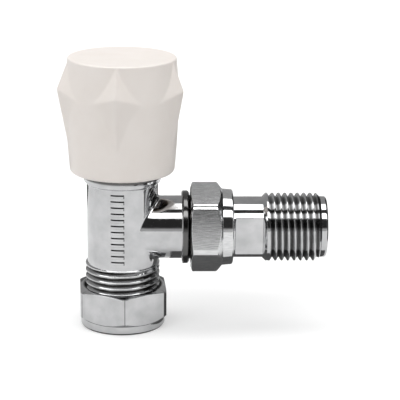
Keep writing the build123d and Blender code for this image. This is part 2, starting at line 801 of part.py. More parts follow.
outer_lobe = kite_lobe(0, wheel_top, shoulder_z)
inner_lobe = kite_lobe(wheel_wall, wheel_roof, shoulder_z)
lobe_angles = [lobe_turn + 360 / lobe_count * index for index in range(lobe_count)]
with BuildPart() as handwheel:
    with BuildSketch(Plane.XZ) as wheel_outline:
        with BuildLine():
            Polyline(
                (0, wheel_bottom),
                (wheel_foot_radius - wheel_foot_corner, wheel_bottom),
                (wheel_foot_radius, wheel_bottom + wheel_foot_corner),
                (wheel_shoulder_radius, shoulder_z),
                (wheel_waist_radius, waist_z),
                (wheel_disc_radius, wheel_top),
                (0, wheel_top),
                close=True,
            )
        make_face()
    revolve(axis=Axis.Z)
    for angle in lobe_angles:
        add(outer_lobe, rotation=(0, 0, angle))
    with BuildSketch(Plane.XZ) as wheel_hollow:
        with BuildLine():
            Polyline(
                (0, wheel_bottom - 1),
                (wheel_foot_radius - wheel_wall, wheel_bottom - 1),
                (wheel_foot_radius - wheel_wall, wheel_bottom + wheel_foot_corner),
                (wheel_shoulder_radius - wheel_wall, shoulder_z),
                (wheel_waist_radius - wheel_wall, waist_z),
                (wheel_disc_radius - wheel_wall, wheel_roof),
                (0, wheel_roof),
                close=True,
            )
        make_face()
    revolve(axis=Axis.Z, mode=Mode.SUBTRACT)
    for angle in lobe_angles:
        add(inner_lobe, rotation=(0, 0, angle), mode=Mode.SUBTRACT)
    with BuildSketch(Plane.XY.offset(hub_bottom)) as hub:
        Circle(hub_radius)
    extrude(amount=wheel_roof - hub_bottom)
    with BuildSketch(Plane.XY.offset(rib_bottom)) as wheel_ribs:
        rib_span = wheel_waist_radius - wheel_wall / 2
        with Locations([Location((0, 0), angle + 180 / lobe_count) for angle in lobe_angles]):
            with Locations((rib_span / 2, 0)):
                Rectangle(rib_span, wheel_rib_thickness)
    extrude(amount=wheel_roof - rib_bottom)
    with BuildSketch(Plane.XY.offset(hub_bottom)) as drive_socket:
        Rectangle(drive_across_flats + 2 * seat_gap, drive_across_flats + 2 * seat_gap)
    extrude(amount=drive_top + seat_gap - hub_bottom, mode=Mode.SUBTRACT)
    with BuildSketch(Plane.XY.offset(hub_bottom)) as hub_slots:
        Rectangle(3 * hub_radius, hub_slot_width)
        Rectangle(hub_slot_width, 3 * hub_radius)
    extrude(amount=hub_slot_length, mode=Mode.SUBTRACT)
handwheel.part.label = "handwheel"
export_step(handwheel.part, "parts/handwheel.step")

with BuildPart() as wheel_spring_clip:
    with BuildSketch(Plane.XZ) as clip_wire:
        with Locations((hub_radius + seat_gap + clip_wire_radius, hub_bottom + clip_rise)):
            Circle(clip_wire_radius)
    revolve(axis=Axis.Z)
    with BuildSketch(Plane.XY.offset(hub_bottom)) as clip_gap:
        with Locations((0, -hub_radius)):
            Rectangle(clip_split, hub_radius)
    extrude(amount=2 * clip_rise, mode=Mode.SUBTRACT)
wheel_spring_clip.part.label = "wheel_spring_clip"
export_step(wheel_spring_clip.part, "parts/wheel_spring_clip.step")
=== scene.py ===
import json

import bmesh
import bpy
import numpy as np
from mathutils import Matrix


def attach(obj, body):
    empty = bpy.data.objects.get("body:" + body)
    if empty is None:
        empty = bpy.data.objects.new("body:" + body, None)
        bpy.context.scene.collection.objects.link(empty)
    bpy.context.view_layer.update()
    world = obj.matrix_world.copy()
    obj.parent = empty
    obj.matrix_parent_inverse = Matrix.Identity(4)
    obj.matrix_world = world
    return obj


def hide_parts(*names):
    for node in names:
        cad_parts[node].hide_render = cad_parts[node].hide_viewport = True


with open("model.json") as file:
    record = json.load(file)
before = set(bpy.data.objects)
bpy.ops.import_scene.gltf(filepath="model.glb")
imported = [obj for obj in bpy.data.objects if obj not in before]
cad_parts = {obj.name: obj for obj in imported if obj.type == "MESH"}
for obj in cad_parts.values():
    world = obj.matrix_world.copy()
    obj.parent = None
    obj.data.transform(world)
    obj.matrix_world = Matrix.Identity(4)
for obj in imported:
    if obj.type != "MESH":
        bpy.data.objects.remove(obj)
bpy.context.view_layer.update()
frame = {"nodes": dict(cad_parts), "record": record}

# Valve body. The real piece is one brass forging, turned, bored, threaded and then chrome plated. It stands
# in the compression nut, carries the branch on its right, and everything else is fixed to it.
# All sizes are in millimetres up to the moment a mesh is made.
MILLIMETRE = 0.001
full_turn = 2 * np.pi
thread_spacing = 1.88
thread_depth = 1.16
crest_flat = 0.36
root_flat = 0.1
thread_rounding = 0.2
branch_height = 29.7

body_foot = 6.6
inlet_crest = 11.0
inlet_thread_phase = 15.9
inlet_run_out, inlet_fading = 18.9, 0.9
barrel_bottom = 19.2
barrel_radius = 10.45
barrel_top = 43.5
collar_radius = 12.05
collar_low = 46.0
body_top = 48.0
branch_radius = 9.3
branch_length = 17.5
shoulder_radius = 10.8
shoulder_end = 19.7
union_crest = 10.55
union_thread_phase = 21.0
union_thread_start = shoulder_end + 0.7
union_run_out, union_fading = 19.5, 1.3
branch_end = 27.2
saddle_fillet = 0.9
chamber_radius = 7.5
chamber_floor = 22.8
chamber_roof = 38.3
branch_bore = 6.7
mouth_radius, mouth_depth = 8.9, 3.2
bonnet_bore, seal_seat_radius, seal_seat_depth = 8.95, 10.42, 1.29
seat_lip, seat_hole, seat_height = 5.9, 4.5, 24.3
inlet_bore, inlet_bore_top = 6.4, 20.6
pipe_socket, pipe_stop = 7.6, 17.0
olive_seat_radius, olive_seat_height = 9.15, 8.15
root_radius = {"inlet": inlet_crest - thread_depth, "union": union_crest - thread_depth}
columns = 192
turns = np.linspace(0, full_turn, columns + 1)


def soften(corners, cut, steps=4, support=0.03):
    """Straight runs through corners (..., corner, place) with each inner corner c rounded. The curve
    a(1-t)^2 + 2ct(1-t) + bt^2 joins a and b, which lie on the two runs at the distance cut from c."""
    corners = np.asarray(corners, float)
    before, here, after = corners[..., :-2, :], corners[..., 1:-1, :], corners[..., 2:, :]
    reach_in = np.linalg.norm(before - here, axis=-1, keepdims=True)
    reach_out = np.linalg.norm(after - here, axis=-1, keepdims=True)
    inwards = (before - here) / np.maximum(reach_in, 1e-9)
    outwards = (after - here) / np.maximum(reach_out, 1e-9)
    wanted = np.broadcast_to(np.asarray(cut, float), here.shape[-2:-1])[:, None]
    distance = np.minimum(wanted, 0.42 * np.minimum(reach_in, reach_out))
    t = np.linspace(0, 1, steps)[:, None]
    middle, start, end = here[..., None, :], (here + inwards * distance), (here + outwards * distance)
    curve = (1 - t) ** 2 * start[..., None, :] + 2 * t * (1 - t) * middle + t**2 * end[..., None, :]
    lead = (start + inwards * support * reach_in)[..., None, :]
    trail = (end + outwards * support * reach_out)[..., None, :]
    rows = np.concatenate([lead, curve, trail], axis=-2)
    rows = rows.reshape(*corners.shape[:-2], -1, corners.shape[-1])
    return np.concatenate([corners[..., :1, :], rows, corners[..., -1:, :]], axis=-2)


def about_spindle(radius, height, turn):
    """Points round Z: (radius cos turn, radius sin turn, height)."""
    radius, height, turn = np.broadcast_arrays(radius, height, turn)
    return np.stack([radius * np.cos(turn), radius * np.sin(turn), height], axis=-1)


def about_branch(place, radius, turn):
    """Points round the branch's axis: (place, radius cos turn, axis height + radius sin turn)."""
    place, radius, turn = np.broadcast_arrays(place, radius, turn)
    return np.stack([place, radius * np.cos(turn), branch_height + radius * np.sin(turn)], axis=-1)


def screw_thread(first, last, crest, phase, run_out, fading, turn):
    """Place and radius of a right-hand thread. Row k, step s and turn a lie at the place
    phase + spacing (k + a / full turn) + s, and s runs over the rounded tooth from root to root. The tooth's
    depth fades out over the length fading up to run_out, and a 45 degree cone trims the other end."""
    root = crest - thread_depth
    half = thread_spacing / 2
    tooth = [(-half, root), (-half + root_flat / 2, root), (-crest_flat / 2, crest), (crest_flat / 2, crest),
             (half - root_flat / 2, root), (half, root)]
    tooth = soften(tooth, thread_rounding, steps=3, support=0)
    fraction = turn / full_turn
    low = int(np.floor((first - phase) / thread_spacing - fraction.max())) - 1
    high = int(np.ceil((last - phase) / thread_spacing - fraction.min())) + 1
    rows = (np.arange(low, high + 1)[:, None] * thread_spacing + tooth[None, :, 0]).reshape(-1, 1)
    place = np.clip(phase + rows + thread_spacing * fraction, first, last)
    within = ((place - phase) / thread_spacing - fraction + 0.5) % 1 - 0.5
    depth = crest - np.interp(within * thread_spacing, tooth[:, 0], tooth[:, 1])
    plain_end = last if abs(run_out - last) < abs(run_out - first) else first
    cut_end = first if plain_end == last else last
    fade = np.clip((place - run_out) * np.sign(cut_end - plain_end) / fading, 0, 1)
    radius = crest - depth * fade**2 * (3 - 2 * fade)
    return place, np.minimum(radius, root + 0.05 + np.abs(place - cut_end))


def branching(outer, bore, fillet, low, high, samples, spread):
    """A round pipe leaving a drum of radius outer: the ball of radius fillet that rolls in the corner has
    its centre at outer + fillet from the drum's axis and bore + fillet from the pipe's. Gives the turns
    round the pipe, the heights up the drum's patch, the drum's skin in rings from the ball's contact to the
    patch's edge, the rolled strip, and where the pipe starts."""
    side = np.linspace(low, high, samples)
    across = np.arange(spread, -spread - 1, -1) * full_turn / columns
    edge_turn = np.concatenate([np.full(samples, across[0]), across[1:], np.full(samples - 1, across[-1]),
                                across[::-1][1:]])
    edge_height = np.concatenate([side, np.full(len(across) - 1, high), side[::-1][1:],
                                  np.full(len(across) - 1, low)])
    turn = np.unwrap(np.arctan2(edge_height - branch_height, outer * edge_turn))
    y = (bore + fillet) * np.cos(turn)
    z = (bore + fillet) * np.sin(turn)
    x = np.sqrt((outer + fillet) ** 2 - y**2)
    on_drum = np.stack([x, y], -1) * outer / (outer + fillet)
    contact = np.arctan2(on_drum[:, 1], on_drum[:, 0])
    step = (np.linspace(0, 1, 13) ** 1.6)[:, None]
    skin_turn = (1 - step) * contact + step * edge_turn
    skin_height = (1 - step) * (z + branch_height) + step * edge_height
    drum = about_spindle(outer, skin_height, skin_turn)
    centre = np.stack([x, y, z + branch_height], -1)
    to_drum = np.stack([*(on_drum - centre[:, :2]).T, 0 * x], -1)
    to_pipe = np.stack([0 * x, y, z], -1) * -fillet / (bore + fillet)
    angle = np.arccos(np.clip((to_drum * to_pipe).sum(-1) / max(fillet, 1e-9) ** 2, -1, 1))[:, None]
    part = np.linspace(0, 1, 9)[:, None, None]
    rolled = centre + (np.sin((1 - part) * angle) * to_drum + np.sin(part * angle) * to_pipe) / np.sin(
        np.maximum(angle, 1e-6))
    return turn, side, drum, rolled, x


def join_patches(name, patches, body, replaced, sharp=38.0):
    """One smooth mesh from grids of points in millimetres: every four neighbours make a face, and points
    that fall together are merged."""
    points, faces, count = [], [], 0
    for patch in patches:
        number = count + np.arange(patch.shape[0] * patch.shape[1]).reshape(patch.shape[:2])
        faces.append(np.stack([number[:-1, :-1], number[:-1, 1:], number[1:, 1:], number[1:, :-1]], -1))
        faces[-1] = faces[-1].reshape(-1, 4)
        points.append(patch.reshape(-1, 3))
        count += len(points[-1])
    mesh = bpy.data.meshes.new(name)
    mesh.from_pydata(np.concatenate(points) * MILLIMETRE, [], np.concatenate(faces))
    work = bmesh.new()
    work.from_mesh(mesh)
    bmesh.ops.remove_doubles(work, verts=work.verts, dist=2e-6)
    bmesh.ops.dissolve_degenerate(work, edges=work.edges, dist=1e-7)
    bmesh.ops.recalc_face_normals(work, faces=work.faces)
    work.to_mesh(mesh)
    work.free()
    mesh.shade_smooth()
    mesh.set_sharp_from_angle(angle=np.radians(sharp))
    piece = bpy.data.objects.new(name, mesh)
    bpy.context.scene.collection.objects.link(piece)
    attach(piece, body)
    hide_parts(replaced)
    return piece


def lathe(profile, cut=0.15, turn=turns):
    """A profile of (radius, height) turned about the spindle, its inner corners softened."""
    profile = soften(profile, cut)
    return about_spindle(profile[:, :1], profile[:, 1:], turn)


def branch_lathe(profile, turn, cut=0.15):
    """A profile of (place, radius) turned about the branch's axis, its inner corners softened."""
    profile = soften(profile, cut)
    return about_branch(profile[:, :1], profile[:, 1:], turn)


skin_low = barrel_bottom + 0.15
skin_high = barrel_top - 1.0
saddle_spread = 38
inlet_thread = screw_thread(body_foot, barrel_bottom - 0.3, inlet_crest, inlet_thread_phase, inlet_run_out,
                            inlet_fading, turns)
around, skin_side, barrel_skin, saddle, branch_start = branching(
    barrel_radius, branch_radius, saddle_fillet, skin_low, skin_high, 35, saddle_spread)
wrapped = turns[saddle_spread : columns - saddle_spread + 1]
_, wall_side, chamber_skin, _, bore_start = branching(
    chamber_radius, branch_bore, 0.0, chamber_floor, chamber_roof, 35, saddle_spread)
union_thread = screw_thread(union_thread_start, branch_end - 0.1, union_crest, union_thread_phase,
                            union_run_out, union_fading, around)
tube = np.linspace(0, 1, 8)[:, None]
body_patches = [
    lathe([(olive_seat_radius, body_foot), (root_radius["inlet"] + 0.05, body_foot)]),
    about_spindle(inlet_thread[1], inlet_thread[0], turns),
    lathe([(inlet_crest, barrel_bottom - 0.3), (inlet_crest, barrel_bottom - 0.15),
           (barrel_radius, barrel_bottom), (barrel_radius, skin_low)], 0.2),
    about_spindle(barrel_radius, skin_side[:, None], wrapped),
    barrel_skin,
    saddle,
    about_branch((1 - tube) * branch_start + tube * (branch_length - 0.4), branch_radius, around),
    branch_lathe([(branch_length - 0.4, branch_radius), (branch_length, branch_radius),
                  (branch_length, shoulder_radius - 0.25), (branch_length + 0.35, shoulder_radius),
                  (shoulder_end - 0.6, shoulder_radius), (shoulder_end - 0.1, shoulder_radius - 0.5),
                  (shoulder_end, root_radius["union"]),
                  (union_thread_start, root_radius["union"]), (union_thread_start, union_crest)], around,
                 [0.1, 0.1, 0.15, 0.25, 0.35, 0.25, 0.1]),
    about_branch(union_thread[0], union_thread[1], around),
    branch_lathe([(branch_end - 0.1, root_radius["union"] + 0.05), (branch_end, root_radius["union"] - 0.05),
                  (branch_end, mouth_radius), (branch_end - 2.2, branch_bore),
                  (branch_end - mouth_depth, branch_bore)], around, 0.1),
    about_branch((1 - tube) * bore_start + tube * (branch_end - mouth_depth), branch_bore, around),
    chamber_skin,
    about_spindle(chamber_radius, wall_side[:, None], wrapped),
    lathe([(barrel_radius, skin_high), (barrel_radius, barrel_top), (barrel_radius + 0.6, barrel_top + 0.5),
           (barrel_radius + 0.9, barrel_top + 1.5), (collar_radius, collar_low),
           (collar_radius, body_top - 0.4), (collar_radius - 0.4, body_top), (seal_seat_radius, body_top),
           (seal_seat_radius, body_top - seal_seat_depth), (bonnet_bore, body_top - seal_seat_depth),
           (bonnet_bore, chamber_roof),
           (chamber_radius, chamber_roof)], [0.2, 0.15, 0.2, 0.3, 0.2, 0.2, 0.1, 0.1, 0.1, 0.1]),
    lathe([(chamber_radius, chamber_floor), (seat_lip, chamber_floor), (seat_lip, seat_height),
           (seat_hole, seat_height), (seat_hole, inlet_bore_top), (inlet_bore, inlet_bore_top),
           (inlet_bore, pipe_stop), (pipe_socket, pipe_stop), (pipe_socket, olive_seat_height),
           (olive_seat_radius, body_foot)], 0.15),
]

# Twelve graduation ribs stand proud of the barrel's front, each with a long slope above it
rib_length, rib_width, rib_proud, rib_offset = 4.2, 1.25, 0.17, -1.35
rib_slopes = {"left": 0.12, "right": 0.36, "low": 0.1, "high": 0.52}
across_rib = np.unique(np.concatenate([np.linspace(0, rib_length, 19), np.linspace(0, 0.4, 7),
                                       rib_length - np.linspace(0, 0.4, 7)]))
up_rib = np.unique(np.concatenate([np.linspace(0, rib_width, 9), np.linspace(0, 0.3, 6),
                                   rib_width - np.linspace(0, 0.5, 8)]))
rise = np.minimum.outer(np.minimum(up_rib / rib_slopes["low"], (rib_width - up_rib) / rib_slopes["high"]),
                        np.minimum(across_rib / rib_slopes["left"],
                                   (rib_length - across_rib) / rib_slopes["right"]))
rise = np.clip(rise, 0, 1)
for rib in range(12):
    rib_height = 41.8 - rib_width / 2 - 1.84 * rib + up_rib[:, None]
    rib_turn = -np.pi / 2 + (rib_offset - rib_length / 2 + across_rib) / barrel_radius
    body_patches.append(about_spindle(barrel_radius - 0.06 + (rib_proud + 0.06) * rise, rib_height, rib_turn))
    body_patches.append(about_spindle(barrel_radius - 0.06 - 0.1 * (rise > 0), rib_height, rib_turn))

valve_body = join_patches("valve_body_plated", body_patches, "valve", "valve_body")


def shader(name, colour, metallic, roughness):
    """A material with its node tree and its principled shader."""
    material = bpy.data.materials.new(name)
    material.use_nodes = True
    tree = material.node_tree
    finish = tree.nodes["Principled BSDF"]
    finish.inputs["Base Color"].default_value = (*colour, 1)
    finish.inputs["Metallic"].default_value = metallic
    finish.inputs["Roughness"].default_value = roughness
    return material, tree, finish


def add_node(tree, kind, links=(), **settings):
    """A node with its settings, and its inputs either linked or filled."""
    node = tree.nodes.new(kind)
    for key, value in settings.items():
        setattr(node, key, value)
    for socket, value in dict(links).items():
        if isinstance(value, bpy.types.NodeSocket):
            tree.links.new(value, node.inputs[socket])
        else:
            node.inputs[socket].default_value = value
    return node


def grain(tree, size, detail=3.0, stretch=(1, 1, 1)):
    """Noise over the object's own coordinates, its grains about size millimetres long."""
    place = add_node(tree, "ShaderNodeTexCoord").outputs["Object"]
    scale = tuple(1000 / size * s for s in stretch)
    moved = add_node(tree, "ShaderNodeMapping", {"Vector": place, "Scale": scale})
    noise = add_node(tree, "ShaderNodeTexNoise", {"Vector": moved.outputs[0], "Scale": 1.0, "Detail": detail})
    return noise.outputs["Fac"]


def spread_of(tree, value, low, high):
    """A value around one half spread between low and high."""
    node = add_node(tree, "ShaderNodeMapRange", {"Value": value, "From Min": 0.3, "From Max": 0.7,
                                                 "To Min": low, "To Max": high})
    return node.outputs[0]


def tinted(tree, value, dark, light):
    """A colour between dark and light by a value around one half."""
    ramp = add_node(tree, "ShaderNodeValToRGB", {"Fac": value})
    ramp.color_ramp.elements[0].position, ramp.color_ramp.elements[1].position = 0.3, 0.7
    ramp.color_ramp.elements[0].color, ramp.color_ramp.elements[1].color = (*dark, 1), (*light, 1)
    return ramp.outputs[0]


def bumped(tree, finish, value, distance, strength=1.0):
    """The shader's normal tilted by a height of up to distance millimetres."""
    bump = add_node(tree, "ShaderNodeBump", {"Height": value, "Strength": strength,
                                             "Distance": distance * MILLIMETRE})
    tree.links.new(bump.outputs[0], finish.inputs["Normal"])


def plated(name, dark, light, low, high, ripple):
    """Polished plate: a slow ripple from the polishing, faint cloudiness, wiped patches, and painted shade
    that the attribute dirt_and_painted_shade puts in grooves, creases and edges, with some dirt in the thread
    grooves."""
    material, tree, finish = shader(name, light, 1.0, low)
    cloudy = tinted(tree, grain(tree, 5.0, 5.0), dark, light)
    dirt_and_painted_shade = add_node(tree, "ShaderNodeAttribute", attribute_name="dirt_and_painted_shade").outputs["Fac"]
    # Painted shade: where the attribute is high the colour goes near black, standing in for shade in grooves,
    # creases and under the wheel, with some dirt in the thread grooves.
    painted_dark = add_node(tree, "ShaderNodeMix", {6: cloudy, 7: (0.05, 0.048, 0.045, 1)}, data_type="RGBA")
    tree.links.new(dirt_and_painted_shade, painted_dark.inputs[0])
    tree.links.new(painted_dark.outputs[2], finish.inputs["Base Color"])
    polish = spread_of(tree, grain(tree, 3.0, 6.0), low, high)
    rougher = add_node(tree, "ShaderNodeMath", {0: dirt_and_painted_shade, 1: 0.08, 2: polish}, operation="MULTIPLY_ADD")
    tree.links.new(rougher.outputs[0], finish.inputs["Roughness"])
    bumped(tree, finish, grain(tree, 2.2, 2.0), ripple)
    return material


def add_painted_shade_and_dirt(piece, share):
    """Attribute dirt_and_painted_shade at each point, from zero to one, the share of painted shade and dirt:
    share is worked out from its place x, its distance from the branch's axis, its height and its distance
    from the spindle's axis, all in millimetres."""
    points = np.empty(len(piece.data.vertices) * 3)
    piece.data.vertices.foreach_get("co", points)
    x, y, z = points.reshape(-1, 3).T / MILLIMETRE
    value = np.clip(share(x, np.hypot(y, z - branch_height), z, np.hypot(x, y), np.arctan2(y, x)), 0, 1)
    piece.data.attributes.new("dirt_and_painted_shade", "FLOAT", "POINT").data.foreach_set("value", value)


def body_painted_shade_and_dirt(x, off_branch, z, off_spindle, turn):
    """Painted shade, with some dirt in the thread grooves: dark in the grooves of both threads, on the
    shoulder ring, as painted shade at the right ends of the ribs, and as a painted shadow of the wheel round
    the collar."""
    inlet = (z < inlet_run_out) * (off_spindle > 9.5) * (inlet_crest - 0.6 - off_spindle) / 0.5
    union = (x > shoulder_end - 0.2) * (off_branch > 9.0) * (union_crest - 0.5 - off_branch) / 0.6
    ring = (x > branch_length + 0.1) * (x < shoulder_end) * (off_branch > 9.5) * 0.85
    # Painted shade along the right end of each rib.
    along_rib = (turn + np.pi / 2) * barrel_radius - rib_offset + rib_length / 2
    rib_end = (off_spindle > barrel_radius + 0.01) * (off_spindle < barrel_radius + 0.2)
    rib_end = rib_end * (along_rib > rib_length - 0.4) * (along_rib < rib_length + 0.1)
    rib_end = rib_end * (z > barrel_bottom + 0.8) * (z < barrel_top - 1.5) * 0.85
    # Painted shadow of the wheel round the top of the collar.
    collar = (z > collar_low - 0.3) * (off_spindle > 11.3) * 0.85
    return np.maximum.reduce([inlet, union, ring, rib_end, collar])


add_painted_shade_and_dirt(valve_body, body_painted_shade_and_dirt)
chrome = plated("chrome_plate", (0.52, 0.523, 0.53), (0.66, 0.663, 0.67), 0.045, 0.12, 0.004)
valve_body.data.materials.append(chrome)

# Compression nut. A brass hexagon nut, plated, with turned corners, a round foot and a hole for the pipe in
# its floor. It screws up the inlet thread and squeezes the brass olive.
nut_height, nut_apothem, nut_corner, nut_rim = 12.0, 12.7, 14.2, 12.2
nut_turn = np.radians(33.0)
nut_foot, nut_foot_height = 12.55, 2.6
nut_bore, nut_bore_seam, nut_floor = 11.3, 7.0, 2.7
pipe_hole, pipe_hole_top, olive_cone = 7.9, 1.75, 8.85


def soft_least(a, b, softness):
    """The smaller of two values, with the step from one to the other rounded over about softness."""
    return (a + b - np.sqrt((a - b) ** 2 + softness**2)) / 2


def hexagon_turns(first_corner, apothem, corner):
    """Turns round a hexagon nut, close together where its flats meet the turned corners."""
    half = np.pi / 6
    edge = np.arccos(apothem / corner)
    near_corner = np.array([0, 0.004, 0.009, 0.015, 0.03])
    flat = np.concatenate([near_corner - half, -edge + np.linspace(-0.012, 0.010, 9),
                           np.linspace(-edge + 0.02, edge - 0.02, 17), edge + np.linspace(-0.010, 0.010, 9),
                           half - near_corner[::-1]])
    centres = first_corner + half + np.arange(6) * np.pi / 3
    whole = np.concatenate([centre + flat[:-1] for centre in centres])
    return np.append(whole, whole[0] + full_turn)


def hexagon_radius(turn, first_corner, apothem, corner, crown=0.0):
    """Distance of a hexagon's side from its middle: apothem / cos(turn from the flat), up to corner. The
    polishing crowns each flat: it falls away by crown towards its edges, with the turn squared."""
    from_flat = (turn - first_corner) % (np.pi / 3) - np.pi / 6
    fall = crown * (from_flat / np.arccos(apothem / corner)) ** 2
    return soft_least((apothem - fall) / np.cos(from_flat), corner, 0.03)


nut_turns = hexagon_turns(nut_turn, nut_apothem, nut_corner)
side = hexagon_radius(nut_turns, nut_turn, nut_apothem, nut_corner)
here = np.ones_like(side)
nut_corners = np.stack([
    np.stack([here * radius, here * height], -1) for radius, height in [
        (nut_bore, nut_bore_seam), (nut_bore, nut_floor), (olive_cone, nut_floor),
        (pipe_hole, pipe_hole_top), (pipe_hole, 0.0), (nut_foot - 0.3, 0.0), (nut_foot, 0.5),
        (nut_foot, nut_foot_height), (side, nut_foot_height + 0.75 * (side - nut_foot)),
        (side, nut_height - (side - nut_rim) * np.tan(np.radians(16.0))), (nut_rim, nut_height),
        (nut_bore + 0.2, nut_height), (nut_bore, nut_height - 0.2), (nut_bore, nut_bore_seam)]], axis=-2)
nut_cuts = [0.15, 0.2, 0.1, 0.1, 0.05, 0.05, 0.1, 0.08, 0.12, 0.12, 0.05, 0.05]
nut_rows = soften(nut_corners, nut_cuts, steps=5)
compression_nut = join_patches(
    "compression_nut_plated",
    [about_spindle(nut_rows[..., 0].T, nut_rows[..., 1].T, nut_turns)],
    "compression_nut", "compression_nut")


def nut_painted_shade(x, off_branch, z, off_spindle, turn):
    """Painted shade: dark where the flats meet the foot, under the foot, in the mouth round the thread, and a
    painted dark reflection along a hair line on each corner."""
    to_corner = (turn - nut_turn + np.pi / 6) % (np.pi / 3) - np.pi / 6
    # Painted reflection: a dark hair line down each turned corner.
    corner = np.exp(-((to_corner / 0.009) ** 2)) * (off_spindle > nut_corner - 0.2) * 0.8
    # Painted shade at the step over the foot, along the foot's bottom edge and inside the mouth.
    foot = (np.abs(z - nut_foot_height) < 0.1) * (off_spindle > nut_foot - 0.1) * 0.8
    base = (z < 0.52) * (off_spindle > 9) * 0.95
    mouth = (z > 8) * (off_spindle < 11.6) * 0.8
    return np.maximum.reduce([corner, foot, base, mouth])


add_painted_shade_and_dirt(compression_nut, nut_painted_shade)
compression_nut.data.materials.append(chrome)

# Union nut. A hexagon nut in brass, satin plated: its flats are brushed along the pipe and its turned corners
# and collar are bright. It closes over the tail and screws along the thread of the branch.
union_front, union_back, union_collar_start, union_end = 20.05, 27.8, 29.25, 32.55
union_apothem, union_corner, union_rim = 12.0, 13.3, 11.5
union_collar, union_bore, union_hole = 11.35, 10.85, 9.3
union_bore_seam, union_bore_end = 25.0, 30.1
union_turn = np.radians(18.1)
union_turns = hexagon_turns(union_turn, union_apothem, union_corner)
union_side = hexagon_radius(union_turns, union_turn, union_apothem, union_corner, 0.12)
back_slope = (union_collar_start - union_back) / (union_corner - union_rim)
here = np.ones_like(union_side)
union_corners = np.stack([
    np.stack([here * place, here * radius], -1) for place, radius in [
        (union_bore_seam, union_bore), (union_front, union_bore), (union_front, union_rim),
        (union_front + (union_side - union_rim) * np.tan(np.radians(18.0)), union_side),
        (union_collar_start - (union_side - union_rim) * back_slope, union_side),
        (union_collar_start, union_rim), (union_collar_start + 0.15, union_collar),
        (union_end - 0.35, union_collar - 0.25), (union_end, union_collar - 0.65), (union_end, union_hole),
        (union_bore_end, union_hole), (union_bore_end, union_bore), (union_bore_seam, union_bore)]], axis=-2)
union_rows = soften(union_corners, [0.1, 0.1, 0.15, 0.3, 0.4, 0.1, 0.25, 0.25, 0.1, 0.1, 0.1], steps=6)
union_nut = join_patches(
    "union_nut_plated",
    [about_branch(union_rows[..., 0].T, union_rows[..., 1].T, union_turns)],
    "union_nut", "union_nut")


def brushed_plate():
    """Satin plate on the flats, where the attribute brushed is one, and bright plate elsewhere."""
    material, tree, finish = shader("satin_plate", (0.68, 0.69, 0.70), 1.0, 0.3)
    streak = grain(tree, 0.24, 5.0, (0.1, 1, 1))
    worn = add_node(tree, "ShaderNodeAttribute", attribute_name="brushed").outputs["Fac"]
    tone = tinted(tree, streak, (0.66, 0.665, 0.67), (0.84, 0.845, 0.85))
    tree.links.new(tone, finish.inputs["Base Color"])
    satin = spread_of(tree, streak, 0.15, 0.27)
    bright = spread_of(tree, grain(tree, 3.0, 6.0), 0.06, 0.12)
    mixed = add_node(tree, "ShaderNodeMix", data_type="FLOAT")
    tree.links.new(worn, mixed.inputs["Factor"])
    tree.links.new(bright, mixed.inputs["A"])
    tree.links.new(satin, mixed.inputs["B"])
    tree.links.new(mixed.outputs["Result"], finish.inputs["Roughness"])
    lift = add_node(tree, "ShaderNodeMath", operation="MULTIPLY")
    tree.links.new(streak, lift.inputs[0])
    tree.links.new(worn, lift.inputs[1])
    bumped(tree, finish, lift.outputs[0], 0.012)
    return material


def mark_flats(piece, first_corner, apothem):
    """Attribute brushed: one where a point lies on a flat of the hexagon about the branch, else zero."""
    points = np.empty(len(piece.data.vertices) * 3)
    piece.data.vertices.foreach_get("co", points)
    points = points.reshape(-1, 3) / MILLIMETRE
    y, z = points[:, 1], points[:, 2] - branch_height
    turn = np.arctan2(z, y)
    from_flat = (turn - first_corner) % (np.pi / 3) - np.pi / 6
    on_flat = np.abs(np.hypot(y, z) * np.cos(from_flat) - apothem + 0.07) < 0.09
    on_flat |= (points[:, 0] > union_back + 0.2) & (points[:, 0] < union_collar_start)
    piece.data.attributes.new("brushed", "FLOAT", "POINT").data.foreach_set("value", on_flat.astype(float))


mark_flats(union_nut, union_turn, union_apothem)
union_nut.data.materials.append(brushed_plate())

# Radiator tail. A turned brass tube, plated: a coned nose inside the branch, a neck with two milled spanner
# flats, then the pipe thread that screws into the radiator, and a plain bright nose.
tail_neck, tail_flat, tail_crest, tail_nose, tail_end = 9.0, 6.9, 10.1, 9.05, 60.25
tail_flat_turn = np.radians(8.0)
tail_flat_start, tail_flat_end = 32.95, 41.75
tail_cone_start, tail_cone_end, tail_thread_end = 41.3, 42.4, 58.4
tail_thread_phase, tail_run_out, tail_fading = 43.97, 42.2, 1.7
tail_bore, tail_outlet, tail_outlet_depth, tail_outlet_seam = 5.9, 7.9, 42.25, 50.0
tail_tip, tail_tip_radius, tail_head_start, tail_head_radius = 25.5, 6.6, 27.5, 8.6
ring_slot_start, ring_slot_end, ring_slot_radius = 29.1, 30.1, 8.0
neck_start = 32.0
left_sweep, right_sweep = 0.35, 0.6
flat_edge = np.arccos(tail_flat / tail_neck)
tail_turns = np.linspace(0, full_turn, columns + 1)[:-1]
near_edges = [tail_flat_turn + side_turn + hand * flat_edge + np.linspace(-0.02, 0.02, 7)
              for side_turn in (0, np.pi) for hand in (1, -1)]
tail_turns = np.unique(np.concatenate([tail_turns, *near_edges]) % full_turn)
tail_turns = np.append(tail_turns, tail_turns[0] + full_turn)
quarter = np.sin(np.linspace(0, np.pi / 2, 12))
neck_places = np.unique(np.concatenate([
    np.linspace(neck_start, tail_cone_end, 30), tail_flat_start + left_sweep - left_sweep * quarter,
    tail_flat_end - right_sweep + right_sweep * quarter, tail_cone_start + np.linspace(-0.2, 0.2, 5),
    tail_cone_end - np.linspace(0, 0.3, 5)]))[:, None]


def run_out(places):
    """How far the cutter has left the flat: a quarter circle at each end of it."""
    left = np.clip((tail_flat_start + left_sweep - places) / left_sweep, 0, 1)
    right = np.clip((places - tail_flat_end + right_sweep) / right_sweep, 0, 1)
    return 2.3 * (1 - np.sqrt(1 - left**2)) + 3.0 * (1 - np.sqrt(1 - right**2))


